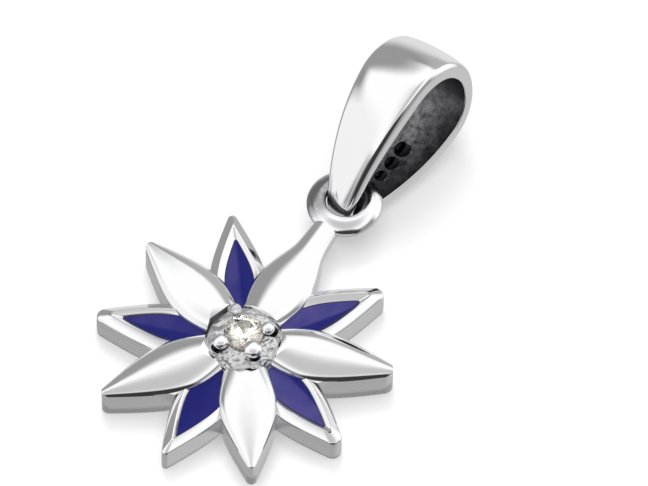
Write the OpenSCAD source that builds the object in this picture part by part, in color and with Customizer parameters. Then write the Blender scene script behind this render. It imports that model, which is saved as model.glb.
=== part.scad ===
// Star pendant: a ten-pointed enamelled star with a set stone, on a tapered teardrop bail.
// It lies face up: the flat back is on z = 0 and the bail lies along +Y. Millimetres.

/* [Star] */
// Length of the top petal, from the centre to where its neck covers its tip
petal_length = 7.3; // [6:0.1:8]
// Greatest width of a raised petal and of a lower one
raised_width = 2.75; // [2:0.01:3.2]
lower_width = 2.72; // [2:0.02:3.2]
// Distance from the centre to a petal's widest place
widest_at = 3.20; // [2:0.02:4]
// How straight a petal's sides run beyond the bend at the widest place: 0 is an even curve
straightness = 2.5; // [0.5:0.1:5]
// Height of the raised petals' side walls
raised_wall = 1.42; // [1.1:0.02:1.7]
// Height of a raised petal's ridge at its tip
tip_ridge = 1.56; // [1.3:0.02:1.8]
// Height of a raised petal's ridge near the centre
mid_ridge = 2.14; // [1.8:0.02:2.6]
// Height of the lower petals' side walls
lower_wall = 1.36; // [0.9:0.02:1.5]
// Height of the lower petals' rims
rim_height = 1.60; // [1.3:0.05:1.9]
// How far a rim's crest is in from the wall
rim_crest = 0.38; // [0.2:0.01:0.5]
// Gap between an enamel panel or the stone and the metal
seat_gap = 0.03; // [0.01:0.01:0.05]

/* [Enamel] */
// Height of the enamel's face
enamel_face = 1.49; // [1.2:0.01:1.8]
// Height of the cell's floor
cell_floor = 0.75; // [0.4:0.05:1.1]

/* [Setting and stone] */
// Stone diameter
stone_diameter = 1.8; // [1.5:0.05:2.2]
// Height of the stone's table
stone_table = 2.70; // [2.5:0.02:3.2]
// Outer radius of the setting's cup at its foot, at its shoulder and at its lip
cup_foot = 1.72; // [1.5:0.02:1.9]
cup_shoulder = 1.48; // [1.2:0.02:1.6]
cup_lip = 1.12; // [0.9:0.02:1.4]
// Radius of the ring of prongs
prong_circle = 1.15; // [0.9:0.01:1.4]
// Radius of a prong's ball
prong_ball = 0.37; // [0.3:0.01:0.5]

/* [Loop] */
// Distance from the star's centre to the loop's centre
loop_centre = 8.79; // [8.5:0.01:9.5]
// Hole radius of the loop
loop_hole = 0.92; // [0.7:0.02:1.2]
// Radial width of the loop's metal
loop_metal = 0.86; // [0.6:0.02:1.1]
// Height of the loop's underside
loop_bottom = 1.14; // [0.6:0.02:1.3]
// Height of the loop's top
loop_top = 1.86; // [1.4:0.02:2.2]

/* [Bail] */
// Radius of the bail's round top, seen from the side
bail_round = 2.84; // [2:0.05:3.2]
// Distance from the foot's bend to the centre of the round top
bail_run = 5.56; // [4.5:0.1:7]
// Radius of the foot's bend
bail_foot = 0.82; // [0.6:0.02:1]
// Wall at the top and at the foot
bail_wall_top = 0.86; // [0.5:0.02:0.9]
bail_wall_foot = 0.47; // [0.4:0.02:0.7]
// Width of the band at the top and at the foot
bail_width_top = 3.54; // [3:0.1:4.5]
bail_width_foot = 1.24; // [0.9:0.02:1.4]
// How far the outer face is crowned across its width
bail_crown = 0.26; // [0:0.02:0.5]
// Lie of the bail: turn, rise and lean in degrees
bail_turn = -2.1; // [-8:0.1:8]
bail_rise = 21; // [0:0.5:30]
bail_lean = 14; // [0:0.5:20]
// Where the foot's bend is centred, along Y and above the back
bail_foot_y = 8.97; // [8.6:0.01:9.3]
bail_foot_z = 1.365; // [1:0.02:1.9]

/* [Hidden] */

// Petals as cast: bearing in degrees from +X, reach of the point that the tip is blunted from, how
// much is blunted away, width of the rim round the enamel or 0 for a raised petal, and how far the
// cell sits to the left.
BEARING = 0; REACH = 1; BLUNT = 2; RIM = 3; SHIFT = 4;
PETALS = [
    [ 90.4, petal_length, 0.20, 0, 0],
    [126.8, 7.30, 0.34, 0.68, -0.06],
    [162.0, 7.30, 0.36, 0, 0],
    [199.3, 7.64, 0.60, 0.68, -0.02],
    [235.2, 7.62, 0.50, 0, 0],
    [270.1, 7.20, 0.30, 0.52, 0.06],
    [305.3, 7.06, 0.38, 0, 0],
    [341.7, 7.48, 0.62, 0.62, 0.02],
    [ 19.4, 7.80, 0.66, 0, 0],
    [ 55.5, 7.68, 0.60, 0.68, -0.10]];
raised = [for (p = PETALS) if (p[RIM] == 0) p];
lower = [for (p = PETALS) if (p[RIM] > 0) p];
// Bearings of the four prongs, as bent over the stone.
PRONGS = [39, 142, 241, 325];

silver = [0.86, 0.87, 0.89];
blue = [0.13, 0.10, 0.48];

// A petal's outline: a hyperbola runs from the widest place to the tip, and one to the inner end,
// which would lie behind the centre. The outline stops at the centre, under the setting.
inner_end = -0.9;
function stretch(x, reach) = (x < widest_at ? inner_end : reach) - widest_at;
function bend(u) = sqrt(1 + pow(straightness * u, 2));
function half_width(x, reach, width) =
    width / 2 * (1 - (bend((x - widest_at) / stretch(x, reach)) - 1) / (bend(1) - 1));
function slope(x, reach, width) =
    let (u = (x - widest_at) / stretch(x, reach))
    -width / 2 * pow(straightness, 2) * u / bend(u) / (bend(1) - 1) / stretch(x, reach);
// The same outline moved inward by inset, as the point that belongs to x.
function inner_point(x, reach, width, inset) =
    let (m = slope(x, reach, width), s = sqrt(1 + m * m))
    [x + inset * m / s, half_width(x, reach, width) - inset / s];
// Where the moved outline meets the axis, found by halving the stretch from a to b.
function meets_axis(a, b, reach, width, inset, left = 14) =
    let (c = (a + b) / 2) left == 0 ? c
    : inner_point(c, reach, width, inset).y > 0 ? meets_axis(c, b, reach, width, inset, left - 1)
    : meets_axis(a, c, reach, width, inset, left - 1);

module lens(reach, width, inset = 0, blunt = 0) {
    steps = 14;
    first = inner_point(0, reach, width, inset).y > 0 ? 0
        : meets_axis(widest_at, inner_end, reach, width, inset);
    last = min(reach - blunt - max(0, inset),
        inset > 0 ? meets_axis(widest_at, reach, reach, width, inset) : reach);
    left = [for (i = [0:steps]) let (x = first + (last - first) * (1 - cos(180 * i / steps)) / 2,
        q = inner_point(x, reach, width, inset)) [q.x, q.y < 0.005 ? 0 : q.y]];
    polygon(concat(left, [for (i = [steps:-1:0]) if (left[i].y > 0) [left[i].x, -left[i].y]]));
}

module slice(x, points) {
    translate([x, 0, 0]) rotate([90, 0, 90]) linear_extrude(0.01) polygon(points);
}

// Ridge height of a raised petal at the distance x from the centre.
function ridge(x, reach) = tip_ridge + (mid_ridge - tip_ridge) * (1 - pow(x / reach, 2.4));

function dome_section(x, reach) =
    let (b = max(0.06, half_width(x, reach, raised_width)), steps = 10)
    concat([[-b, 0]],
        [for (i = [0:steps]) let (a = 180 - 180 * i / steps)
            [b * cos(a), raised_wall + (ridge(x, reach) - raised_wall) * pow(sin(a), 0.9)]],
        [[b, 0]]);

module raised_petal(p) {
    end = p[REACH] - p[BLUNT];
    rotate(p[BEARING]) hull()
        for (t = [0.04, 0.12, 0.22, 0.34, 0.46, 0.58, 0.69, 0.79, 0.87, 0.94, 0.985, 1])
            slice(t * end - 0.01, dome_section(t * end, p[REACH]));
}

// A lower petal: walls, an outward bevel up to the rim's crest, and a bevel down to the enamel.
module lower_petal(p) {
    rotate(p[BEARING]) difference() {
        hull() {
            linear_extrude(lower_wall) lens(p[REACH], lower_width, 0, p[BLUNT]);
            translate([0, 0, 1]) linear_extrude(rim_height - 1.06)
                lens(p[REACH], lower_width, rim_crest * 0.74, p[BLUNT]);
            translate([0, 0, 1]) linear_extrude(rim_height - 1)
                lens(p[REACH], lower_width, rim_crest, p[BLUNT]);
        }
        hull() {
            translate([0, 0, rim_height]) linear_extrude(0.3)
                lens(p[REACH], lower_width, rim_crest + 0.06);
            translate([0, 0, enamel_face - 0.04]) linear_extrude(0.3) cell_lens(p);
        }
    }
}

module cell_lens(p, gap = 0) {
    translate([0, p[SHIFT]]) lens(p[REACH], lower_width, p[RIM] + gap);
}

// The enamel cell of lower petal p, seen from above: its lens less the raised petals and the cup.
module cell(p, gap) {
    difference() {
        rotate(p[BEARING]) cell_lens(p, gap);
        for (r = raised) rotate(r[BEARING]) lens(r[REACH], raised_width, -2 * gap);
        circle(r = cup_foot + gap, $fn = 64);
    }
}

// The raised petals and the cup are joined on after these cuts, and close the cells' inner sides.
module cells() {
    for (p = lower) translate([0, 0, cell_floor]) linear_extrude(2) rotate(p[BEARING])
        cell_lens(p);
}

girdle_radius = stone_diameter / 2;
girdle_top = stone_table - 0.16 * stone_diameter;
girdle_bottom = girdle_top - 0.04 * stone_diameter;
culet = girdle_bottom - 0.42 * stone_diameter;

// The cup under the stone: a foot that closes the cells, a shoulder and a narrowing lip.
module cup() {
    lip_height = girdle_bottom + 0.02;
    rotate_extrude($fn = 52) polygon([[0, 0.02], [cup_foot, 0.02], [cup_foot, enamel_face + 0.03],
        [cup_shoulder, mid_ridge - 0.13], [cup_lip, lip_height], [0, lip_height]]);
}

module prong(angle) {
    rotate(angle) hull() {
        translate([prong_circle, 0, stone_table - 0.20]) sphere(prong_ball, $fn = 20);
        translate([prong_circle + 0.16, 0, mid_ridge - 0.42])
            cylinder(h = 0.1, r = prong_ball, $fn = 20);
    }
}

// The stone's seat: a bore at the girdle, a cone below it, cut also into the prongs.
module seat() {
    g = girdle_radius + seat_gap;
    translate([0, 0, culet - 0.10]) cylinder(h = girdle_bottom - culet + 0.08, r1 = 0.06,
        r2 = g, $fn = 48);
    translate([0, 0, girdle_bottom - 0.021]) cylinder(h = girdle_top - girdle_bottom + 0.042,
        r = g, $fn = 48);
    translate([0, 0, girdle_top + 0.02]) cylinder(h = stone_table - girdle_top + 0.6, r1 = g,
        r2 = 0.44, $fn = 48);
}

loop_section = let (w = loop_metal / 2, h = (loop_top - loop_bottom) / 2, steps = 14)
    [for (i = [0:steps - 1]) let (a = 360 * i / steps)
        [loop_hole + w + w * sign(cos(a)) * pow(abs(cos(a)), 0.8),
         loop_bottom + h + h * sign(sin(a)) * pow(abs(sin(a)), 0.8)]];

module loop() {
    translate([0, loop_centre, 0]) rotate_extrude($fn = 44) polygon(loop_section);
}

// Neck: it carries the loop off the top petal, rising clear of the back.
module neck() {
    near = loop_centre - loop_hole - loop_metal;
    rotate(90) hull() {
        slice(4.5, [for (q = dome_section(4.5, petal_length)) [q.x * 0.9, q.y]]);
        slice(5.9, neck_section(0.78, 0.45, 1.88));
        slice(near + 0.15, neck_section(0.68, loop_bottom, loop_top));
        slice(near + 0.42, neck_section(0.56, loop_bottom + 0.05, loop_top - 0.03));
    }
}

// Half width, underside and top of the neck at one place.
function neck_section(b, low, high) =
    [[-b * 0.85, low], [b * 0.85, low], [b, low + 0.2], [b, high - 0.4], [b * 0.55, high],
     [-b * 0.55, high], [-b, high - 0.4], [-b, low + 0.2]];

module star() {
    color(silver) difference() {
        union() {
            difference() {
                union() {
                    for (p = lower) lower_petal(p);
                    cylinder(h = cell_floor, r = 3.2, $fn = 40);
                }
                cells();
            }
            for (p = raised) raised_petal(p);
            cup();
            for (bearing = PRONGS) prong(bearing);
            neck();
            loop();
        }
        seat();
    }
}

module enamel(k) {
    color(blue) translate([0, 0, cell_floor + seat_gap])
        linear_extrude(enamel_face - cell_floor - seat_gap) cell(lower[k], seat_gap);
}

// Round brilliant: an octagonal table, a crown, a sixteen-sided girdle and a pavilion. Each kite
// facet is flat because its side corners lie on the plane through its top and bottom corners.
function ring_points(r, z, count, phase) =
    [for (i = [0:count - 1]) let (a = 360 * (i + phase) / count) [r * cos(a), r * sin(a), z]];

module stone() {
    g = girdle_radius;
    table_r = 0.56 * g;
    crown_r = 0.80 * g;
    pavilion_r = 0.22 * g;
    crown_z = girdle_top
        + (g - crown_r * cos(22.5)) / (g - table_r) * (stone_table - girdle_top);
    pavilion_z = culet + pavilion_r * cos(22.5) / g * (girdle_bottom - culet);
    // First point of each ring: table 0, crown 8, girdle top 16, girdle bottom 32, pavilion 48.
    corners = concat(ring_points(table_r, stone_table, 8, 0), ring_points(crown_r, crown_z, 8, 0.5),
        ring_points(g, girdle_top, 16, 0), ring_points(g, girdle_bottom, 16, 0),
        ring_points(pavilion_r, pavilion_z, 8, 0.5), [[0, 0, culet]]);
    facets = concat([[for (k = [0:7]) k]],
        [for (k = [0:7]) let (n = (k + 1) % 8, l = (k + 7) % 8, g1 = 16 + 2 * k, b1 = 32 + 2 * k,
            g3 = 16 + (2 * k + 2) % 16, b3 = 32 + (2 * k + 2) % 16)
            each [[k, 8 + k, n], [k, 8 + l, g1, 8 + k], [8 + k, g1, g1 + 1], [8 + k, g1 + 1, g3],
                [g1, b1, b1 + 1, g1 + 1], [g1 + 1, b1 + 1, b3, g3],
                [48 + k, b1 + 1, b1], [48 + k, b3, b1 + 1], [b1, 48 + l, 56, 48 + k]]]);
    color([0.93, 0.91, 0.86]) polyhedron(corners,
        [for (f = facets) [for (i = [len(f) - 1:-1:0]) f[i]]]);
}

// Side view of the bail: a round top, a round foot and two long arcs tangent to both.
function side_radius(round, foot) =
    (pow(bail_run, 2) + pow(round, 2) - pow(foot, 2)) / (2 * (round - foot));
// A point of that outline, with t from -1 at the foot's end to 0 at the start of the round top
// and to 1 at the crown. The outline's lower half is its mirror image.
function outline(t, round, foot) =
    let (big = side_radius(round, foot), ang = asin(bail_run / (big - foot)))
    t >= 0 ? [bail_run + round * sin(90 * t), round * cos(90 * t)]
    : t >= -0.75 ? let (a = ang * (-t / 0.75)) [bail_run - big * sin(a), round - big + big * cos(a)]
    : let (a = ang + (90 - ang) * (-t - 0.75) / 0.25) [-foot * sin(a), foot * cos(a)];
function mirrored(p, side) = [p.x, side * p.y];

STATIONS = [-1, -0.95, -0.90, -0.85, -0.80, -0.75, -0.66, -0.56, -0.45, -0.34, -0.23, -0.11,
    0, 0.14, 0.28, 0.42, 0.56, 0.70, 0.85, 1];
turns = concat([for (t = STATIONS) [t, 1]], [for (i = [len(STATIONS) - 2:-1:1]) [STATIONS[i], -1]]);

function band_half(x) =
    let (u = max(0, x + bail_foot) / (bail_run + bail_round + bail_foot))
    bail_width_foot / 2 + (bail_width_top - bail_width_foot) / 2 * sin(min(90 * u / 0.87, 100));

// One cross-section of the band: flat inside, crowned outside, with an upright edge between.
function band_section(t, side) =
    let (outer = mirrored(outline(t, bail_round, bail_foot), side),
         inner = mirrored(outline(t, bail_round - bail_wall_top, bail_foot - bail_wall_foot), side),
         n = (outer - inner) / norm(outer - inner), b = band_half(outer.x),
         rise = min(bail_crown, bail_crown * b / 1.2), edge = outer - n * rise, steps = 8)
    concat([[inner.x, -b, inner.y], [inner.x, b, inner.y]],
        [for (i = [0:steps]) let (a = 180 * i / steps, q = edge + n * rise * pow(sin(a), 0.85))
            [q.x, b * cos(a), q.y]]);

module ring_of_sections(rows) {
    n = len(rows);
    m = len(rows[0]);
    polyhedron(
        points = [for (r = rows) for (p = r) p],
        faces = [for (i = [0:n - 1]) for (j = [0:m - 1]) for (h = [0, 1])
            let (a = i * m + j, b = i * m + (j + 1) % m,
                 c = ((i + 1) % n) * m + (j + 1) % m, d = ((i + 1) % n) * m + j)
            h == 0 ? [c, b, a] : [d, c, a]]);
}

// Three plain punched dots inside the lower leg.
module dots() {
    for (x = [2.5, 3.35, 4.2]) {
        p = mirrored(outline(-0.75 * (bail_run - x) / bail_run, bail_round - bail_wall_top,
            bail_foot - bail_wall_foot), -1);
        translate([x, 0, p.y + 0.14]) sphere(0.32, $fn = 20);
    }
}

module bail_shape() {
    difference() {
        ring_of_sections([for (q = turns) band_section(q[0], q[1])]);
        dots();
    }
}

// The bail's own axes are X along it, Y across it and Z up through it.
module bail() {
    color(silver) translate([0, bail_foot_y, bail_foot_z]) rotate(90 + bail_turn)
        rotate([0, -bail_rise, 0]) rotate([-bail_lean, 0, 0]) bail_shape();
}

star();
enamel(0);  // enamel_1
enamel(1);  // enamel_2
enamel(2);  // enamel_3
enamel(3);  // enamel_4
enamel(4);  // enamel_5
stone();
bail();
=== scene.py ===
"""Looks of the star pendant: a cast silver star with enamel cells, a set stone and a tapered bail."""
import math

import bmesh
import bpy
from mathutils import Matrix, Vector


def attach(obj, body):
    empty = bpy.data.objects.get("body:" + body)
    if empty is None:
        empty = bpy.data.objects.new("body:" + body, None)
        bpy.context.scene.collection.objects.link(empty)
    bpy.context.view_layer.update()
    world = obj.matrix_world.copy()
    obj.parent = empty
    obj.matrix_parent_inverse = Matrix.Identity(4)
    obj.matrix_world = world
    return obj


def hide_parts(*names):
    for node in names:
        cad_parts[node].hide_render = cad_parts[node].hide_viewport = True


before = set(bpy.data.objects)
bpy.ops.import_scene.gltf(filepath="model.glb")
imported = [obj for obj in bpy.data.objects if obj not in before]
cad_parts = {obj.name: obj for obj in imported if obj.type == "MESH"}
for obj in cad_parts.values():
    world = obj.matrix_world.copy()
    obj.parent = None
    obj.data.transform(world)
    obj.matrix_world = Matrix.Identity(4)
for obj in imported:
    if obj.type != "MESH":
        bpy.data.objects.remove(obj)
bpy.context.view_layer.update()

# The stand: a pale sheet that the pendant lies on, a soft light tent around it and the camera.
# The tent is white overhead and greyer low down, with dark gaps where its panels meet.
MM = 0.001
CAMERA_AZIMUTH = math.radians(32.27)
CAMERA_ELEVATION = math.radians(59.9)
CAMERA_DISTANCE = 400 * MM
FOCAL_PIXELS = 8641.0
PHOTO_WIDTH, PHOTO_HEIGHT = 648, 486
ORIGIN_PIXEL = (243.9, 358.1)

camera_data = bpy.data.cameras.new("camera")
camera = bpy.data.objects.new("camera", camera_data)
bpy.context.scene.collection.objects.link(camera)
bpy.context.scene.camera = camera
camera_data.sensor_width = 36.0
camera_data.lens = FOCAL_PIXELS / PHOTO_WIDTH * camera_data.sensor_width
camera_data.clip_start = 10 * MM
camera_data.clip_end = 20.0

to_camera = Vector((math.sin(CAMERA_AZIMUTH) * math.cos(CAMERA_ELEVATION),
                    -math.cos(CAMERA_AZIMUTH) * math.cos(CAMERA_ELEVATION),
                    math.sin(CAMERA_ELEVATION)))
right = Vector((0, 0, 1)).cross(to_camera).normalized()
up = to_camera.cross(right)
square_on = Matrix((right, up, to_camera)).transposed().to_quaternion()
pixel = CAMERA_DISTANCE / FOCAL_PIXELS
aim = (right * (PHOTO_WIDTH / 2 - ORIGIN_PIXEL[0]) * pixel
       + up * (ORIGIN_PIXEL[1] - PHOTO_HEIGHT / 2) * pixel)
camera.location = to_camera * CAMERA_DISTANCE
camera.rotation_mode = "QUATERNION"
pan = (-to_camera).rotation_difference(aim - camera.location)
camera.rotation_quaternion = pan @ square_on

bpy.context.scene.view_settings.view_transform = "Standard"
bpy.context.scene.view_settings.look = "None"


def add_node(tree, kind, **values):
    """A node of this kind, with attributes and input values set by name."""
    node = tree.nodes.new(kind)
    for name, value in values.items():
        if hasattr(node, name):
            setattr(node, name, value)
        else:
            node.inputs[name.replace("_", " ")].default_value = value
    return node


world = bpy.data.worlds.new("light tent")
bpy.context.scene.world = world
world.use_nodes = True
tent = world.node_tree
tent.nodes.clear()
direction = add_node(tent, "ShaderNodeTexCoord")
TOP_LIGHT, EDGE_LIGHT, HORIZON_LIGHT, TABLE_LIGHT, GAP_LIGHT = 1.07, 0.28, 0.32, 0.44, 0.04
TENT_EDGE, EDGE_BLUR = 30, 5


def panel(azimuth, elevation, inner, outer):
    """1 inside a round panel seen in this direction, 0 outside; inner and outer are its radii."""
    a, e = math.radians(azimuth), math.radians(elevation)
    dot = add_node(tent, "ShaderNodeVectorMath", operation="DOT_PRODUCT")
    dot.inputs[1].default_value = (math.cos(e) * math.cos(a), math.cos(e) * math.sin(a), math.sin(e))
    tent.links.new(direction.outputs["Generated"], dot.inputs[0])
    edge = add_node(tent, "ShaderNodeMapRange", interpolation_type="SMOOTHSTEP",
                    From_Min=math.cos(math.radians(outer)), From_Max=math.cos(math.radians(inner)))
    tent.links.new(dot.outputs["Value"], edge.inputs["Value"])
    return edge.outputs["Result"]


def laid_over(under, light, mask):
    """The light under this mask is replaced by another; each is a level or a node's output."""
    mix = add_node(tent, "ShaderNodeMix", data_type="FLOAT")
    tent.links.new(mask, mix.inputs[0])
    for socket, value in ((mix.inputs[2], under), (mix.inputs[3], light)):
        if isinstance(value, float):
            socket.default_value = value
        else:
            tent.links.new(value, socket)
    return mix.outputs[0]


height = tent.nodes.new("ShaderNodeSeparateXYZ")
tent.links.new(direction.outputs["Generated"], height.inputs[0])


def fade(low, high, low_light, high_light):
    """Light that changes evenly with the sine of the elevation, between these two."""
    ramp = add_node(tent, "ShaderNodeMapRange", From_Min=low, From_Max=high, To_Min=low_light,
                    To_Max=high_light)
    tent.links.new(height.outputs["Z"], ramp.inputs["Value"])
    return ramp.outputs["Result"]


# Each panel: azimuth from +X, elevation, inner and outer radius in degrees, and light level.
UPPER_PANELS = ((302, 74, 8, 42, 0.58),)
LOWER_PANELS = ((150, 18, 20, 37, 0.33), (112, -32, 12, 50, 0.78), (30, -40, 10, 50, 0.57),
                (92, 16, 13, 27, 0.46), (52, 12, 18, 34, 1.07), (222, 10, 24, 36, 0.95),
                (310, 10, 26, 36, GAP_LIGHT))
upper = TOP_LIGHT
for azimuth, elevation, inner, outer, light in UPPER_PANELS:
    upper = laid_over(upper, light, panel(azimuth, elevation, inner, outer))
below = laid_over(fade(0.0, math.sin(math.radians(TENT_EDGE)), HORIZON_LIGHT, EDGE_LIGHT),
                  fade(-0.9, 0.0, TABLE_LIGHT, HORIZON_LIGHT), panel(0, -90, 89, 91))
level = laid_over(below, upper, panel(0, 90, 90 - TENT_EDGE - EDGE_BLUR, 90 - TENT_EDGE + EDGE_BLUR))
for azimuth, elevation, inner, outer, light in LOWER_PANELS:
    level = laid_over(level, light, panel(azimuth, elevation, inner, outer))
seen = add_node(tent, "ShaderNodeLightPath")
backdrop = add_node(tent, "ShaderNodeMix", data_type="FLOAT")
tent.links.new(seen.outputs["Is Camera Ray"], backdrop.inputs[0])
tent.links.new(level, backdrop.inputs[2])
backdrop.inputs[3].default_value = 1.0
background = add_node(tent, "ShaderNodeBackground", Color=(1, 1, 1, 1))
tent.links.new(backdrop.outputs[0], background.inputs["Strength"])
tent.links.new(background.outputs[0], add_node(tent, "ShaderNodeOutputWorld").inputs["Surface"])

# The sheet glows a little, and more so far out, so that all but the pendant's shadow is white.
SHEET_HALF, SHEET_DROP = 1.2, 0.01
NEAR_GLOW, FAR_GLOW, GLOW_FROM, GLOW_TO = 0.25, 0.50, 30, 150
sheet_mesh = bmesh.new()
bmesh.ops.create_grid(sheet_mesh, x_segments=8, y_segments=8, size=SHEET_HALF)
bmesh.ops.translate(sheet_mesh, vec=(0, 0, -SHEET_DROP * MM), verts=sheet_mesh.verts)
sheet_data = bpy.data.meshes.new("sheet")
sheet_mesh.to_mesh(sheet_data)
sheet_mesh.free()
sheet = bpy.data.objects.new("sheet", sheet_data)
bpy.context.scene.collection.objects.link(sheet)
paper = bpy.data.materials.new("white paper")
paper.use_nodes = True
paper_surface = paper.node_tree.nodes["Principled BSDF"]
paper_surface.inputs["Base Color"].default_value = (0.62, 0.62, 0.62, 1)
paper_surface.inputs["Emission Color"].default_value = (1, 1, 1, 1)
paper_surface.inputs["Roughness"].default_value = 0.9
paper_surface.inputs["Specular IOR Level"].default_value = 0.1
sheet_place = add_node(paper.node_tree, "ShaderNodeTexCoord")
from_pendant = add_node(paper.node_tree, "ShaderNodeVectorMath", operation="LENGTH")
sheet_glow = add_node(paper.node_tree, "ShaderNodeMapRange", From_Min=GLOW_FROM * MM,
                      From_Max=GLOW_TO * MM, To_Min=NEAR_GLOW, To_Max=FAR_GLOW)
paper.node_tree.links.new(sheet_place.outputs["Object"], from_pendant.inputs[0])
paper.node_tree.links.new(from_pendant.outputs["Value"], sheet_glow.inputs["Value"])
paper.node_tree.links.new(sheet_glow.outputs["Result"], paper_surface.inputs["Emission Strength"])
sheet_data.materials.append(paper)
sheet.visible_glossy = False

# Each lamp: its name, diameter in metres, power and place in metres.
for name, size, energy, place in (("key", 0.30, 1.8, (-0.24, 0.30, 0.55)),
                                  ("overhead", 0.80, 3.0, (0.05, 0.0, 0.80))):
    lamp_data = bpy.data.lights.new(name, "AREA")
    lamp_data.shape = "DISK"
    lamp_data.size = size
    lamp_data.energy = energy
    lamp = bpy.data.objects.new(name, lamp_data)
    lamp.visible_glossy = False
    lamp.location = place
    lamp.rotation_mode = "QUATERNION"
    lamp.rotation_quaternion = (-lamp.location).to_track_quat("-Z", "Y")
    bpy.context.scene.collection.objects.link(lamp)

# The lower petals: cast in silver with the star, each a plate with an upright wall, a bevelled
# rim and a sunk cell for enamel. They are one casting with all the star's other silver.
LOWER_WIDTH = 2.72
# Each petal: bearing from +X, reach of its point before it is rounded, the tip's radius, the rim
# round the cell, and how far the cell is set to the left.
LOWER_PETALS = ((126.8, 7.30, 0.23, 0.68, -0.06), (199.3, 7.64, 0.40, 0.68, -0.02),
                (270.1, 7.20, 0.20, 0.52, 0.06), (341.7, 7.48, 0.42, 0.62, 0.02),
                (55.5, 7.68, 0.40, 0.68, -0.10))
WIDEST_AT, INNER_END, STRAIGHTNESS = 3.20, -0.90, 2.5
SIDE_STEPS, TIP_STEPS = 34, 8
LEAST_TIP, CELL_TIP, LOWER_WALL_TOP = 0.06, 0.07, 1.12


def bend(u):
    """A hyperbola: a bend at 0 that runs out into a straight line."""
    return math.hypot(1, STRAIGHTNESS * u)


def half_width(x, reach, width):
    """Half the width of a petal's outline at the distance x from the star's centre."""
    end = INNER_END if x < WIDEST_AT else reach
    return width / 2 * (1 - (bend((x - WIDEST_AT) / (end - WIDEST_AT)) - 1) / (bend(1) - 1))


def outline_point(x, reach, width, inset):
    """The point of the outline moved inward by inset that belongs to x, and its outward normal."""
    stretch = (INNER_END if x < WIDEST_AT else reach) - WIDEST_AT
    u = (x - WIDEST_AT) / stretch
    slope = -width / 2 * STRAIGHTNESS ** 2 * u / bend(u) / (bend(1) - 1) / stretch
    length = math.hypot(1, slope)
    normal = (-slope / length, 1 / length)
    y = half_width(x, reach, width)
    return x - inset * normal[0], y - inset * normal[1], normal


def axis_crossing(start, end, reach, width, inset):
    """Where the outline moved inward by inset meets the petal's axis, between start and end."""
    for _ in range(40):
        middle = (start + end) / 2
        if outline_point(middle, reach, width, inset)[1] > 0:
            start = middle
        else:
            end = middle
    return start


def petal_outline(reach, width, inset, tip, inner_end=0.0):
    """Points round a petal with a rounded tip: out along the left side and back on the right."""
    core = inset + tip
    last = axis_crossing(WIDEST_AT, reach, reach, width, core)
    first = max(axis_crossing(WIDEST_AT, 0.0, reach, width, inset), inner_end)
    side = []
    for i in range(SIDE_STEPS):
        t = (1 - math.cos(math.pi * i / (SIDE_STEPS - 1))) / 2
        side.append(outline_point(first + (last - first) * t, reach, width, inset)[:2])
    x, _, normal = outline_point(last, reach, width, core)
    spread = math.acos(normal[0])
    arc = [(x + tip * math.cos(spread * (1 - i / TIP_STEPS)),
            tip * math.sin(spread * (1 - i / TIP_STEPS))) for i in range(1, TIP_STEPS)]
    left = side + arc
    return left + [(x + tip, 0.0)] + [(px, -py) for px, py in reversed(left)]


def loft(shape, rings, start_cap=True, end_cap=True, finish=0):
    """Draws a first ring through rings of equally many points, all in millimetres."""
    kept = set(shape.faces)
    made = bmesh.ops.create_circle(shape, segments=len(rings[0]), radius=1)["verts"]
    first = list(made)
    for vert, place in zip(first, rings[0]):
        vert.co = Vector(place) * MM
    ring = first
    for places in rings[1:]:
        edges = [e for e in {e for v in ring for e in v.link_edges}
                 if e.verts[0] in ring and e.verts[1] in ring]
        grown = bmesh.ops.extrude_edge_only(shape, edges=edges)["geom"]
        new = {v for v in grown if isinstance(v, bmesh.types.BMVert)}
        ring = [next(o for e in v.link_edges for o in [e.other_vert(v)] if o in new) for v in ring]
        for vert, place in zip(ring, places):
            vert.co = Vector(place) * MM
    for cap, verts in ((start_cap, first), (end_cap, ring)):
        if cap:
            shape.faces.new(verts)
    for face in shape.faces:
        if face not in kept:
            face.material_index = finish
    return first, ring


def finished(shape, name):
    """Makes the mesh object: doubles merged, faces outward, and all but its flat ends smooth."""
    bmesh.ops.remove_doubles(shape, verts=shape.verts, dist=0.002 * MM)
    bmesh.ops.recalc_face_normals(shape, faces=shape.faces)
    for face in shape.faces:
        face.smooth = len(face.verts) < 5
    data = bpy.data.meshes.new(name)
    shape.to_mesh(data)
    shape.free()
    made = bpy.data.objects.new(name, data)
    bpy.context.scene.collection.objects.link(made)
    return made


def turned(points, bearing):
    """Points in a petal's own axes, set at its bearing round the star."""
    c, s = math.cos(math.radians(bearing)), math.sin(math.radians(bearing))
    return [(c * x - s * y, s * x + c * y, z) for x, y, z in points]


# Height and inset of each line round the lower petal's wall and rim. The cell's lines follow, with
# the share of the way from the rim's crest to the enamel.
RIM_LINES = ((0.0, 0.05), (0.04, 0.01), (0.30, 0.0), (0.80, 0.0), (1.29, 0.01), (1.35, 0.025), (1.39, 0.06),
             (1.56, 0.335), (1.58, 0.37), (1.592, 0.395))
CELL_LINES = ((1.597, 0.0), (1.585, 0.08), (1.475, 0.90), (1.45, 0.97), (1.25, 1.0))
CREST = 0.42
lower = bmesh.new()
for bearing, reach, tip, rim, shift in LOWER_PETALS:
    rings = []
    for z, inset in RIM_LINES:
        outline = petal_outline(reach, LOWER_WIDTH, inset, max(LEAST_TIP, tip - inset / 2))
        rings.append(turned([(x, y, z) for x, y in outline], bearing))
    for z, share in CELL_LINES:
        outline = petal_outline(reach, LOWER_WIDTH, CREST + (rim - CREST) * share, CELL_TIP)
        rings.append(turned([(x, y + shift * share, z) for x, y in outline], bearing))
    loft(lower, rings)
lower_petals = finished(lower, "lower_petals")


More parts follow.
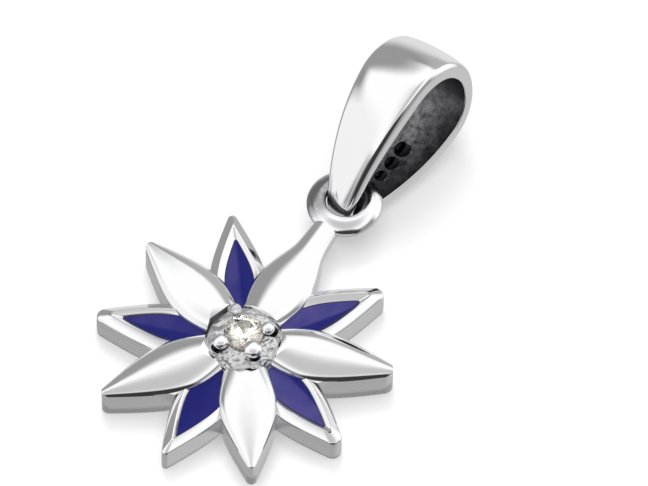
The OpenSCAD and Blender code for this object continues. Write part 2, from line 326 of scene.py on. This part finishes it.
def shader_group(name, inputs, outputs):
    """An empty node group with these sockets, each a name and a kind, and its two end nodes."""
    group = bpy.data.node_groups.new(name, "ShaderNodeTree")
    for in_out, sockets in (("INPUT", inputs), ("OUTPUT", outputs)):
        for socket, kind in sockets:
            group.interface.new_socket(name=socket, in_out=in_out, socket_type=f"NodeSocket{kind}")
    return group, group.nodes.new("NodeGroupInput"), group.nodes.new("NodeGroupOutput")


def polish_group():
    """Fine polishing lines and a faint waviness, for every silver face."""
    group, inside, outside = shader_group(
        "polish marks",
        [(name, "Float") for name in ("Scale", "Roughness", "Wave", "Scratch", "Depth")],
        (("Roughness", "Float"), ("Normal", "Vector")))
    place = add_node(group, "ShaderNodeTexCoord")
    wave = add_node(group, "ShaderNodeTexNoise", Detail=2.0)
    fine = add_node(group, "ShaderNodeTexNoise", Detail=4.0)
    stretch = add_node(group, "ShaderNodeMapping", Scale=(1.0, 9.0, 3.0), Rotation=(0.0, 0.0, 0.6))
    group.links.new(place.outputs["Object"], wave.inputs["Vector"])
    group.links.new(place.outputs["Object"], stretch.inputs["Vector"])
    group.links.new(stretch.outputs["Vector"], fine.inputs["Vector"])
    group.links.new(inside.outputs["Scale"], wave.inputs["Scale"])
    group.links.new(inside.outputs["Scale"], fine.inputs["Scale"])
    spread = add_node(group, "ShaderNodeMath", operation="MULTIPLY_ADD")
    group.links.new(fine.outputs["Fac"], spread.inputs[0])
    group.links.new(inside.outputs["Scratch"], spread.inputs[1])
    group.links.new(inside.outputs["Roughness"], spread.inputs[2])
    bump = add_node(group, "ShaderNodeBump")
    group.links.new(inside.outputs["Depth"], bump.inputs["Distance"])
    group.links.new(inside.outputs["Wave"], bump.inputs["Strength"])
    group.links.new(wave.outputs["Fac"], bump.inputs["Height"])
    group.links.new(spread.outputs[0], outside.inputs["Roughness"])
    group.links.new(bump.outputs["Normal"], outside.inputs["Normal"])
    return group


polish_marks = polish_group()


def silver_finish(name, colour, roughness, wave, scratch, scale=700.0, depth=0.02 * MM):
    """Solid silver with this colour, roughness and amount of waviness and polishing lines."""
    finish = bpy.data.materials.new(name)
    finish.use_nodes = True
    tree = finish.node_tree
    surface = tree.nodes["Principled BSDF"]
    surface.inputs["Base Color"].default_value = (*colour, 1)
    surface.inputs["Metallic"].default_value = 1.0
    marks = tree.nodes.new("ShaderNodeGroup")
    marks.node_tree = polish_marks
    for socket, value in (("Scale", scale), ("Roughness", roughness), ("Wave", wave),
                          ("Scratch", scratch), ("Depth", depth)):
        marks.inputs[socket].default_value = value
    tree.links.new(marks.outputs["Roughness"], surface.inputs["Roughness"])
    tree.links.new(marks.outputs["Normal"], surface.inputs["Normal"])
    return finish


polished = silver_finish("polished silver", (0.93, 0.93, 0.94), 0.05, 0.25, 0.05)
cast_wall = silver_finish("satin cast wall", (0.86, 0.86, 0.87), 0.24, 0.10, 0.08)
# The z part of a face's normal tells whether it stands upright or faces down.
WALL_SLOT, UPRIGHT, DOWNWARD = 1, 0.25, -0.9


def dress(piece, *finishes, wall_top=1.40):
    """Gives the piece its finishes, and the second one to its upright walls and its back."""
    for finish in finishes:
        piece.data.materials.append(finish)
    if len(finishes) > 1:
        for face in piece.data.polygons:
            upright = abs(face.normal.z) < UPRIGHT and face.center.z < wall_top * MM
            if upright or face.normal.z < DOWNWARD:
                face.material_index = WALL_SLOT


dress(lower_petals, polished, cast_wall, wall_top=LOWER_WALL_TOP)
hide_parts("star")
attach(lower_petals, "root")

# The enamel: blue glass melted into the five cells, one fill in each. It is glossy, clings to the
# cell's edge and dips along its middle.
EDGE_LINES = ((1.27, -0.02), (1.45, -0.03), (1.462, -0.01), (1.468, 0.03))
ENAMEL_LINES = ((1.468, 0.03), (1.466, 0.06), (1.46, 0.13), (1.45, 0.28), (1.443, 0.42), (1.44, 0.50))
# Which side of each cell's middle line has painted light on it, how much, and how far that part reaches
# beyond the middle line.
LIT_SIDES = ((1, 0.75, 0.0), (-1, 0.60, 0.05), (1, 0.10, 0.0), (-1, 1.0, 0.38), (1, 1.0, 0.25))
CREASE_BEFORE, CREASE_AFTER = 0.16, 0.04
ENAMEL_START, ENAMEL_TIP = 1.65, 0.05
# The second blue is painted light, laid on one side of each cell.
DEEP_BLUE, LIT_BLUE = (0.0025, 0.0040, 0.106, 1), (0.050, 0.044, 0.180, 1)
ENAMEL_EDGE = (0.004, 0.003, 0.020, 1)


def colour_mix(tree):
    """A node that mixes two colours: its amount, first, second and mixed sockets."""
    mix = add_node(tree, "ShaderNodeMix", data_type="RGBA")
    first, second = [socket for socket in mix.inputs if socket.type == "RGBA"]
    return mix.inputs[0], first, second, next(o for o in mix.outputs if o.type == "RGBA")


def enamel_light_group():
    """The enamel's blue with painted light in cloudy patches past a crease, and its faint ripple."""
    group, inside, outside = shader_group(
        "enamel painted light",
        (("Across", "Vector"), ("Crease Start", "Float"), ("Crease End", "Float"), ("Amount", "Float")),
        (("Color", "Color"), ("Normal", "Vector")))
    place = add_node(group, "ShaderNodeTexCoord")
    cloud = add_node(group, "ShaderNodeTexNoise", Scale=420.0, Detail=2.0)
    group.links.new(place.outputs["Object"], cloud.inputs["Vector"])
    across = add_node(group, "ShaderNodeVectorMath", operation="DOT_PRODUCT")
    group.links.new(place.outputs["Object"], across.inputs[0])
    group.links.new(inside.outputs["Across"], across.inputs[1])
    crease = add_node(group, "ShaderNodeMapRange", interpolation_type="SMOOTHSTEP", To_Min=0.05)
    group.links.new(across.outputs["Value"], crease.inputs["Value"])
    group.links.new(inside.outputs["Crease Start"], crease.inputs["From Min"])
    group.links.new(inside.outputs["Crease End"], crease.inputs["From Max"])
    group.links.new(inside.outputs["Amount"], crease.inputs["To Max"])
    patches = add_node(group, "ShaderNodeMapRange", From_Min=0.30, From_Max=0.62)
    group.links.new(cloud.outputs["Fac"], patches.inputs["Value"])
    # Painted light: the lighter blue past the crease on one side, broken into patches.
    lit_share = add_node(group, "ShaderNodeMath", operation="MULTIPLY")
    group.links.new(crease.outputs["Result"], lit_share.inputs[0])
    group.links.new(patches.outputs["Result"], lit_share.inputs[1])
    amount, deep, light, mixed = colour_mix(group)
    deep.default_value = DEEP_BLUE
    light.default_value = LIT_BLUE
    group.links.new(lit_share.outputs[0], amount)
    ripple = add_node(group, "ShaderNodeBump", Strength=0.2, Distance=0.01 * MM)
    group.links.new(cloud.outputs["Fac"], ripple.inputs["Height"])
    group.links.new(mixed, outside.inputs["Color"])
    group.links.new(ripple.outputs["Normal"], outside.inputs["Normal"])
    return group


enamel_light = enamel_light_group()


def enamel_glass(name, bearing, side, amount, beyond):
    """Royal blue glass, with painted light on one side of the cell's middle line."""
    glass = bpy.data.materials.new(name)
    glass.use_nodes = True
    surface = glass.node_tree.nodes["Principled BSDF"]
    depth = glass.node_tree.nodes.new("ShaderNodeGroup")
    depth.node_tree = enamel_light
    a = math.radians(bearing + 90 * side)
    for socket, value in (("Across", (math.cos(a), math.sin(a), 0)), ("Amount", amount),
                          ("Crease Start", (-CREASE_BEFORE - beyond) * MM),
                          ("Crease End", (CREASE_AFTER - beyond) * MM)):
        depth.inputs[socket].default_value = value
    glass.node_tree.links.new(depth.outputs["Color"], surface.inputs["Base Color"])
    glass.node_tree.links.new(depth.outputs["Normal"], surface.inputs["Normal"])
    surface.inputs["Roughness"].default_value = 0.14
    surface.inputs["Specular IOR Level"].default_value = 0.15
    return glass


edge_glass = bpy.data.materials.new("dark enamel edge")
edge_glass.use_nodes = True
edge_surface = edge_glass.node_tree.nodes["Principled BSDF"]
edge_surface.inputs["Base Color"].default_value = ENAMEL_EDGE
edge_surface.inputs["Roughness"].default_value = 0.3

for k, (bearing, reach, _, rim, shift) in enumerate(LOWER_PETALS, 1):
    fill = bmesh.new()
    for lines, finish in ((ENAMEL_LINES, 0), (EDGE_LINES, 1)):
        rings = []
        for z, inset in lines:
            outline = petal_outline(reach, LOWER_WIDTH, rim + inset, ENAMEL_TIP, ENAMEL_START)
            rings.append(turned([(x, y + shift, z) for x, y in outline], bearing))
        loft(fill, rings, start_cap=finish == 1, end_cap=finish == 0, finish=finish)
    enamel = finished(fill, f"enamel_fill_{k}")
    enamel.data.materials.append(enamel_glass(f"royal blue {k}", bearing, *LIT_SIDES[k - 1]))
    enamel.data.materials.append(edge_glass)
    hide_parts(f"enamel_{k}")
    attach(enamel, "root")

# The raised petals: five silver domes on upright walls between the enamelled petals, cast with
# them and mirror polished on top.
RAISED_WIDTH = 2.75
# Each petal: bearing, reach of its point before it is rounded, and the tip's radius.
RAISED_PETALS = ((162.5, 7.43, 0.38), (235.2, 7.62, 0.34), (305.3, 7.06, 0.26), (19.4, 7.80, 0.45))
WALL_HEIGHT, TIP_RIDGE, MID_RIDGE, RIDGE_FALL = 1.42, 1.56, 2.14, 2.4
LEAST_DOME_TIP, LEAST_HALF = 0.03, 0.02
# A petal's dome starts under the setting and slopes in a little there. The crevice between the setting and
# the upper left petal has painted shade in it, out to this distance from the centre.
PETAL_START, START_BEVEL = 1.50, 0.32
CREVICE, CREVICE_SLOT = 1.70, 2
DOME_INSETS = (0.004, 0.015, 0.035, 0.07, 0.12, 0.18, 0.26, 0.36, 0.48, 0.62, 0.78, 0.95, 1.10, 1.22)


def ridge_height(x, reach):
    """Height of a raised petal along its middle: it falls towards the tip."""
    return TIP_RIDGE + (MID_RIDGE - TIP_RIDGE) * (1 - min(1.0, x / reach) ** RIDGE_FALL)


def dome_height(x, y, reach):
    """Height of a raised petal's dome at a place on it."""
    half = max(LEAST_HALF, half_width(min(x, reach - LEAST_HALF), reach, RAISED_WIDTH))
    across = min(1.0, abs(y) / half)
    return WALL_HEIGHT + (ridge_height(x, reach) - WALL_HEIGHT) * (1 - across ** 2) ** 0.5


raised = bmesh.new()
for bearing, reach, tip in RAISED_PETALS:
    rings = [[(x, y, z) for x, y in petal_outline(reach, RAISED_WIDTH, inset, tip, PETAL_START)]
             for z, inset in ((0.0, 0.04), (0.04, 0.0), (1.0, 0.0), (WALL_HEIGHT, 0.0))]
    for inset in DOME_INSETS:
        outline = petal_outline(reach, RAISED_WIDTH, inset, max(LEAST_DOME_TIP, tip - inset / 2),
                                PETAL_START + START_BEVEL * inset ** 2)
        rings.append([(x, y, dome_height(x, y, reach)) for x, y in outline])
    loft(raised, [turned(ring, bearing) for ring in rings])
raised_petals = finished(raised, "raised_petals")
dress(raised_petals, polished, cast_wall)
# Dark silver for painted shade, in the crevice by the setting and in the loop's bore.
darkened = silver_finish("silver with painted shade", (0.10, 0.10, 0.105), 0.22, 0.8, 0.30, 1500.0)
raised_petals.data.materials.append(darkened)
# Painted shade in the crevice by the setting.
for face in raised_petals.data.polygons:
    if face.center.x < 0 < face.center.y and face.center.to_2d().length < CREVICE * MM:
        face.material_index = CREVICE_SLOT
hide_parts("star")
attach(raised_petals, "root")

# The top petal, neck and fixed loop: the fifth raised petal narrows into a neck above its own
# plate, and the neck carries a rounded ring that the bail hangs in. All cast with the star.
TOP_BEARING, TOP_REACH, TOP_TIP = 90.4, 7.30, 0.14
NECK_START, NECK_END = 1.50, 7.46
LOOP_CENTRE, LOOP_INNER, LOOP_OUTER, LOOP_LOW, LOOP_HIGH = 8.79, 0.92, 1.78, 1.14, 1.96
LOOP_SKEW = 0.20
# From LOOP_START on the loop has a finish of its own, and within LOOP_BORE of its middle it has painted
# shade.
LOOP_START, LOOP_BORE, BORE_SLOT, LOOP_SLOT = 7.3, 1.0, 2, 3
LOOP_POINTS, LOOP_STEPS, NECK_STEPS = 24, 96, 56
NECK_HALF, NECK_TAPER, TAPER_START, NECK_BLEND = 0.70, 0.06, 5.8, 0.12
NECK_RIDGE, RIDGE_BLEND, RISE_START, RISE_LENGTH = 1.84, 0.06, 6.0, 1.3
SHOULDER_RISE, UNDERSIDE, UNDERSIDE_FALL, FLAT_SHARE, LOW_BEVEL = 0.05, 1.20, 0.04, 0.9, 0.08
NECK_WALL_TOP = 1.38
loop_shape = bmesh.new()
plate = [turned([(x, y, z) for x, y in petal_outline(TOP_REACH, RAISED_WIDTH, inset, TOP_TIP)],
                TOP_BEARING)
         for z, inset in ((0.0, 0.05), (0.04, 0.01), (1.25, 0.01), (1.30, 0.05))]
loft(loop_shape, plate)


def neck_half(x):
    """Half the width of the top petal where it narrows into the neck."""
    petal = half_width(min(x, TOP_REACH), TOP_REACH, RAISED_WIDTH)
    neck = NECK_HALF - NECK_TAPER * max(0.0, x - TAPER_START)
    return petal if x < WIDEST_AT else 0.5 * (petal + neck + math.hypot(petal - neck, NECK_BLEND))


def neck_section(x, steps=28):
    """A ring round the top petal or neck: flat underside, low sides and a domed top."""
    rise = min(1.0, max(0.0, (x - RISE_START) / RISE_LENGTH))
    ridge = ridge_height(x, TOP_REACH)
    high = 0.5 * (ridge + NECK_RIDGE + math.hypot(ridge - NECK_RIDGE, RIDGE_BLEND))
    shoulder = WALL_HEIGHT + SHOULDER_RISE * rise
    half = neck_half(x)
    top = [(x, half * math.cos(math.pi * i / steps),
            shoulder + (high - shoulder) * math.sin(math.pi * i / steps))
           for i in range(steps + 1)]
    low = UNDERSIDE - UNDERSIDE_FALL * rise
    bottom = [(x, -half * FLAT_SHARE, low), (x, half * FLAT_SHARE, low), (x, half, low + LOW_BEVEL)]
    return bottom + top + [(x, -half, low + LOW_BEVEL)]


neck_stations = [NECK_START + (NECK_END - NECK_START) * i / NECK_STEPS for i in range(NECK_STEPS + 1)]
loft(loop_shape, [turned(neck_section(x), TOP_BEARING) for x in neck_stations])
middle, half_metal = (LOOP_INNER + LOOP_OUTER) / 2, (LOOP_OUTER - LOOP_INNER) / 2
mid_height, half_height = (LOOP_LOW + LOOP_HIGH) / 2, (LOOP_HIGH - LOOP_LOW) / 2
profile = []
for i in range(LOOP_POINTS):
    across, upward = math.cos(math.tau * i / LOOP_POINTS), math.sin(math.tau * i / LOOP_POINTS)
    place = (middle + half_metal * across - LOOP_SKEW * max(0.0, upward), 0,
             mid_height + half_height * upward)
    profile.append(loop_shape.verts.new(Vector(place) * MM))
edges = [loop_shape.edges.new((a, b)) for a, b in zip(profile, profile[1:] + profile[:1])]
before = set(loop_shape.verts) - set(profile)
bmesh.ops.spin(loop_shape, geom=profile + edges, cent=(0, 0, 0), axis=(0, 0, 1),
               angle=math.tau, steps=LOOP_STEPS, use_merge=True)
ring = [v for v in loop_shape.verts if v not in before]
bmesh.ops.translate(loop_shape, vec=(0, LOOP_CENTRE * MM, 0), verts=ring)
loop = finished(loop_shape, "neck_and_loop")
dress(loop, polished, cast_wall, wall_top=NECK_WALL_TOP)


def patches_group():
    """One colour with soft patches of another over it, thickest round one place."""
    group, inside, outside = shader_group(
        "colour patches",
        (("Base", "Color"), ("Patch", "Color"), ("Place", "Vector"), ("Near", "Float"),
         ("Far", "Float"), ("Patch Start", "Float"), ("Patch End", "Float")),
        (("Color", "Color"),))
    where = add_node(group, "ShaderNodeTexCoord")
    away = add_node(group, "ShaderNodeVectorMath", operation="DISTANCE")
    group.links.new(where.outputs["Object"], away.inputs[0])
    group.links.new(inside.outputs["Place"], away.inputs[1])
    reach = add_node(group, "ShaderNodeMapRange", interpolation_type="SMOOTHSTEP", To_Min=1.0, To_Max=0.0)
    group.links.new(away.outputs["Value"], reach.inputs["Value"])
    group.links.new(inside.outputs["Near"], reach.inputs["From Min"])
    group.links.new(inside.outputs["Far"], reach.inputs["From Max"])
    blotches = add_node(group, "ShaderNodeTexNoise", Scale=1800.0, Detail=6.0, Roughness=0.75)
    group.links.new(where.outputs["Object"], blotches.inputs["Vector"])
    cover = add_node(group, "ShaderNodeMapRange")
    group.links.new(blotches.outputs["Fac"], cover.inputs["Value"])
    group.links.new(inside.outputs["Patch Start"], cover.inputs["From Min"])
    group.links.new(inside.outputs["Patch End"], cover.inputs["From Max"])
    both = add_node(group, "ShaderNodeMath", operation="MULTIPLY")
    group.links.new(reach.outputs["Result"], both.inputs[0])
    group.links.new(cover.outputs["Result"], both.inputs[1])
    amount, base, patch, mixed = colour_mix(group)
    group.links.new(both.outputs[0], amount)
    group.links.new(inside.outputs["Base"], base)
    group.links.new(inside.outputs["Patch"], patch)
    group.links.new(mixed, outside.inputs["Color"])
    return group


colour_patches = patches_group()


def add_patches(finish, colour, place, near, far, patch_start, patch_end):
    """Lays patches of a colour over a silver finish round a place; distances in millimetres."""
    tree = finish.node_tree
    surface = tree.nodes["Principled BSDF"]
    patches = tree.nodes.new("ShaderNodeGroup")
    patches.node_tree = colour_patches
    for socket, value in (("Base", surface.inputs["Base Color"].default_value),
                          ("Patch", (*colour, 1)), ("Place", Vector(place) * MM),
                          ("Near", near * MM), ("Far", far * MM),
                          ("Patch Start", patch_start), ("Patch End", patch_end)):
        patches.inputs[socket].default_value = value
    tree.links.new(patches.outputs["Color"], surface.inputs["Base Color"])


# The ring's left outer slope has a painted grey reflection in patches.
loop_silver = silver_finish("loop silver", (0.93, 0.93, 0.94), 0.07, 0.5, 0.15)
add_patches(loop_silver, (0.38, 0.38, 0.39), (-1.30, 8.50, 1.30), 1.0, 1.7, 0.22, 0.50)
for finish in (darkened, loop_silver):
    loop.data.materials.append(finish)
# The bore gets painted shade; the rest of the ring gets its own finish.
for face in loop.data.polygons:
    inward = math.hypot(face.center.x, face.center.y - LOOP_CENTRE * MM)
    if face.center.y > LOOP_START * MM:
        face.material_index = BORE_SLOT if inward < LOOP_BORE * MM else LOOP_SLOT
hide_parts("star")
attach(loop, "root")

# The setting: a turned cup under the stone with four ball-ended prongs bent over its edge. It is
# silver, soldered to the star, and left rougher than the petals.
CUP_PROFILE = ((0.0, 1.20), (1.74, 1.20), (1.74, 1.50), (1.71, 1.66), (1.64, 1.80), (1.53, 1.94),
               (1.40, 2.04), (1.26, 2.13), (1.10, 2.22), (1.02, 2.25), (0.95, 2.25), (0.88, 2.20),
               (0.10, 1.50), (0.0, 1.50))
setting_shape = bmesh.new()


def lathe(shape, rows, steps):
    """Spins a profile of radii and heights round the star's axis, and returns its points."""
    kept = set(shape.verts)
    points = [shape.verts.new((r * MM, 0, z * MM)) for r, z in rows]
    lines = [shape.edges.new((a, b)) for a, b in zip(points, points[1:])]
    bmesh.ops.spin(shape, geom=points + lines, cent=(0, 0, 0), axis=(0, 0, 1),
                   angle=math.tau, steps=steps, use_merge=True)
    return [v for v in shape.verts if v not in kept]


lathe(setting_shape, CUP_PROFILE, 72)
setting = finished(setting_shape, "setting_cup")
cut_silver = silver_finish("cut silver", (0.88, 0.88, 0.88), 0.27, 1.0, 0.30, 2400.0, 0.38 * MM)
dress(setting, cut_silver)

# Each prong: its bearing and distance from the axis, and the radius of its ball.
PRONGS = ((39, 1.13, 0.31), (142, 1.20, 0.29), (241, 1.22, 0.36), (325, 1.08, 0.42))
BALL_PROFILE = ((0.0, -0.75), (0.62, -0.70), (0.90, -0.45), (1.0, -0.12), (1.0, 0.14), (0.97, 0.34),
                (0.89, 0.50), (0.74, 0.61), (0.50, 0.68), (0.24, 0.71), (0.0, 0.72))
BALL_HEIGHT, SHANK_LEAN, SHANK_LENGTH = 2.50, 30, 1.0
SHANK_FOOT, SHANK_NECK = 0.26, 0.22
# The prongs are polished on top, painted black as shade just under their balls, and rough below that. The
# upper left one is rough all over.
SHADE_HEIGHT = 0.42
PAINTED_SHADE_SLOT, ROUGH_SLOT = 1, 2
prong_shape = bmesh.new()
for bearing, circle, ball in PRONGS:
    at_ball = Matrix.Rotation(math.radians(bearing), 4, "Z") \
        @ Matrix.Translation((circle * MM, 0, BALL_HEIGHT * MM))
    round_end = lathe(prong_shape, [(r * ball, z * ball) for r, z in BALL_PROFILE], 32)
    bmesh.ops.transform(prong_shape, matrix=at_ball, verts=round_end)
    shank = lathe(prong_shape, [(0.0, -SHANK_LENGTH), (SHANK_FOOT, -SHANK_LENGTH),
                                (SHANK_FOOT, -SHANK_LENGTH / 2), (SHANK_NECK, 0.0), (0.0, 0.0)], 24)
    bmesh.ops.transform(prong_shape, matrix=at_ball @ Matrix.Rotation(math.radians(-SHANK_LEAN), 4, "Y"),
                        verts=shank)
prongs = finished(prong_shape, "prongs")
dress(prongs, polished)
# Black for the bail's blackened punched dots, and as painted shade under the prong balls.
black_hollow_and_shade = silver_finish("blackened hollow and painted shade", (0.02, 0.02, 0.02), 0.12, 0.2, 0.10)
for finish in (black_hollow_and_shade, cut_silver):
    prongs.data.materials.append(finish)
for face in prongs.data.polygons:
    if face.center.x < 0 < face.center.y or face.center.z < (BALL_HEIGHT - SHADE_HEIGHT) * MM:
        face.material_index = ROUGH_SLOT
    # Painted shade just under each ball.
    elif face.center.z < BALL_HEIGHT * MM:
        face.material_index = PAINTED_SHADE_SLOT
for piece in (setting, prongs):
    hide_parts("star")
    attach(piece, "root")

# The stone: one small round brilliant with a faint champagne tint, held by the four prongs.
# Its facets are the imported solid's own.
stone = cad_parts["stone"]
stone_finish = bpy.data.materials.new("champagne stone")
stone_finish.use_nodes = True
stone_surface = stone_finish.node_tree.nodes["Principled BSDF"]
stone_surface.inputs["Base Color"].default_value = (0.72, 0.68, 0.62, 1)
stone_surface.inputs["Transmission Weight"].default_value = 1.0
stone_surface.inputs["Roughness"].default_value = 0.10
stone_surface.inputs["IOR"].default_value = 2.0
stone.data.materials.clear()
stone.data.materials.append(stone_finish)

# The bail: a tapered silver band bent into a teardrop, polished and crowned outside, flat and
# darkened inside. It hangs loosely in the loop and lies on its edge.
BAIL_ROUND, BAIL_RUN, BAIL_FOOT = 2.84, 5.56, 0.82
BAIL_WALL_TOP, BAIL_WALL_FOOT = 0.86, 0.47
BAIL_WIDTH_TOP, BAIL_WIDTH_FOOT, WIDEST_SHARE, WIDTH_TURN = 3.54, 1.40, 0.87, 100
BAIL_CROWN_TOP, BAIL_CROWN_FOOT, CROWN_FADE = 0.26, 0.36, 0.8
# The share of a leg, from the round top to the foot, after which it turns into the foot's arc.
LEG_SHARE = 0.75
BAIL_TURN, BAIL_RISE, BAIL_LEAN = -2.1, 21, 14
BAIL_PLACE = (0, 8.97, 1.365)
# Inner faces lie within this much of square to the band's width.
INSIDE_SLOT, PUNCHED_SLOT, SQUARE_TO_WIDTH = 1, 2, 0.3


def bail_outline(t, round_top, foot):
    """Side view of the bail for t from -1 at the foot to 0 at the round top and 1 at the crown."""
    big = (BAIL_RUN ** 2 + round_top ** 2 - foot ** 2) / (2 * (round_top - foot))
    reach = math.asin(BAIL_RUN / (big - foot))
    if t >= 0:
        return (BAIL_RUN + round_top * math.sin(math.pi / 2 * t),
                round_top * math.cos(math.pi / 2 * t))
    if t >= -LEG_SHARE:
        a = reach * -t / LEG_SHARE
        return BAIL_RUN - big * math.sin(a), round_top - big + big * math.cos(a)
    a = reach + (math.pi / 2 - reach) * (-t - LEG_SHARE) / (1 - LEG_SHARE)
    return -foot * math.sin(a), foot * math.cos(a)


def band_half(x):
    """Half the band's width at this distance along the bail."""
    u = max(0.0, x + BAIL_FOOT) / (BAIL_RUN + BAIL_ROUND + BAIL_FOOT)
    return BAIL_WIDTH_FOOT / 2 + (BAIL_WIDTH_TOP - BAIL_WIDTH_FOOT) / 2 \
        * math.sin(math.radians(min(90 * u / WIDEST_SHARE, WIDTH_TURN)))


# Three plain punched dots inside the lower leg: distance along it and radius.
DOTS = ((3.68, 0.42), (2.84, 0.36), (2.04, 0.30))
DOT_DEPTH = 0.40
# The band's long edges: rounded over EASE towards the crown, and bevelled by INNER_BEVEL inside.
EASE, EASE_DROP, EASE_LIMIT, INNER_BEVEL = 0.32, 0.42, 0.8, 0.04
# The inner edge's points: how far in from the band's side, and how high.
INNER_EDGE = ((0.012, 0.015), (0.0, 0.05))
FLAT_STEPS, CROWN_STEPS, EASE_STEPS = 60, 24, 8


def dot_depth(x, y):
    """How deep the inner face of the lower leg is punched at this place."""
    for along, radius in DOTS:
        away = math.hypot(x - along, y) / radius
        if away < 1:
            return DOT_DEPTH * radius * (1 - away ** 2)
    return 0.0


def band_section(t, side):
    """One cross-section of the band: flat inside, crowned outside, edges rounded."""
    ox, oz = bail_outline(t, BAIL_ROUND, BAIL_FOOT)
    ix, iz = bail_outline(t, BAIL_ROUND - BAIL_WALL_TOP, BAIL_FOOT - BAIL_WALL_FOOT)
    wall = math.hypot(ox - ix, oz - iz)
    nx, nz = (ox - ix) / wall, (oz - iz) / wall
    half = band_half(ox)
    towards_foot = max(0.0, 1 - (half - BAIL_WIDTH_FOOT / 2) / CROWN_FADE)
    rise = BAIL_CROWN_TOP + (BAIL_CROWN_FOOT - BAIL_CROWN_TOP) * towards_foot
    flat = [(-half + INNER_BEVEL + (2 * half - 2 * INNER_BEVEL) * i / FLAT_STEPS, 0.0)
            for i in range(FLAT_STEPS + 1)]
    if side < 0 and t < 0:
        flat = [(y, dot_depth(ix, y)) for y, _ in flat]
    core = half - EASE
    shoulder = wall - rise + rise * math.sin(math.acos(core / half))
    drop = min(EASE_DROP, EASE_LIMIT * shoulder)
    ease = [(core + EASE * math.sin(math.pi / 2 * i / EASE_STEPS),
             shoulder - drop * (1 - math.cos(math.pi / 2 * i / EASE_STEPS)))
            for i in range(EASE_STEPS, 0, -1)]
    right_edge = [(half - inward, height) for inward, height in INNER_EDGE] + ease
    crown = [(y, wall - rise + rise * (1 - (y / half) ** 2) ** 0.5)
             for y in [core * math.cos(math.pi * i / CROWN_STEPS) for i in range(CROWN_STEPS + 1)]]
    left_edge = [(-y, h) for y, h in reversed(right_edge)]
    return [(ix + nx * h, y, side * (iz + nz * h)) for y, h in flat + right_edge + crown + left_edge]


# Stations along half the band, closer together at its foot, and where the lower leg is punched.
SPREAD, DENSE_PART = 60, 0.3
half_turn = [-1 + DENSE_PART * i / SPREAD for i in range(SPREAD)]
half_turn += [DENSE_PART - 1 + (2 - DENSE_PART) * i / SPREAD for i in range(SPREAD + 1)]
DOTS_FROM, DOTS_STEP, DOTS_STEPS = 1.7, 0.04, 62
across_dots = {-LEG_SHARE * (1 - (DOTS_FROM + DOTS_STEP * i) / BAIL_RUN) for i in range(DOTS_STEPS)}
punched = sorted(set(half_turn[1:-1]) | across_dots)
stations = [(t, 1) for t in half_turn] + [(t, -1) for t in reversed(punched)]
bail_shape = bmesh.new()
loft(bail_shape, [band_section(t, side) for t, side in stations], False, False)
ends = [e for e in bail_shape.edges if e.is_boundary]
bmesh.ops.bridge_loops(bail_shape, edges=ends)
hang = Matrix.Translation(Vector(BAIL_PLACE) * MM) \
    @ Matrix.Rotation(math.radians(90 + BAIL_TURN), 4, "Z") \
    @ Matrix.Rotation(math.radians(-BAIL_RISE), 4, "Y") \
    @ Matrix.Rotation(math.radians(-BAIL_LEAN), 4, "X")
bmesh.ops.transform(bail_shape, matrix=hang, verts=bail_shape.verts)
bail = finished(bail_shape, "bail_band")
# The lower leg's inside has a painted highlight in patches above the dots.
bail_inside = silver_finish("oxidised inside", (0.06, 0.06, 0.065), 0.20, 0.8, 0.30, 1500.0)
add_patches(bail_inside, (0.34, 0.34, 0.35), (0.2, 13.9, 1.1), 0.3, 4.2, 0.38, 0.62)
for finish in (polished, bail_inside, black_hollow_and_shade):
    bail.data.materials.append(finish)
back_to_band = hang.inverted()
for face in bail.data.polygons:
    place = back_to_band @ face.center
    outward = back_to_band.to_3x3() @ face.normal
    towards = Vector((BAIL_RUN * MM, 0, 0)) - place if place.x > BAIL_RUN * MM else \
        Vector((0, 0, -place.z))
    dotted = place.z < 0 and dot_depth(place.x / MM, place.y / MM) > 0
    if (dotted or abs(outward.y) < SQUARE_TO_WIDTH) and outward.dot(towards) > 0:
        face.material_index = PUNCHED_SLOT if dotted else INSIDE_SLOT
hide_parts("bail")
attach(bail, "root")
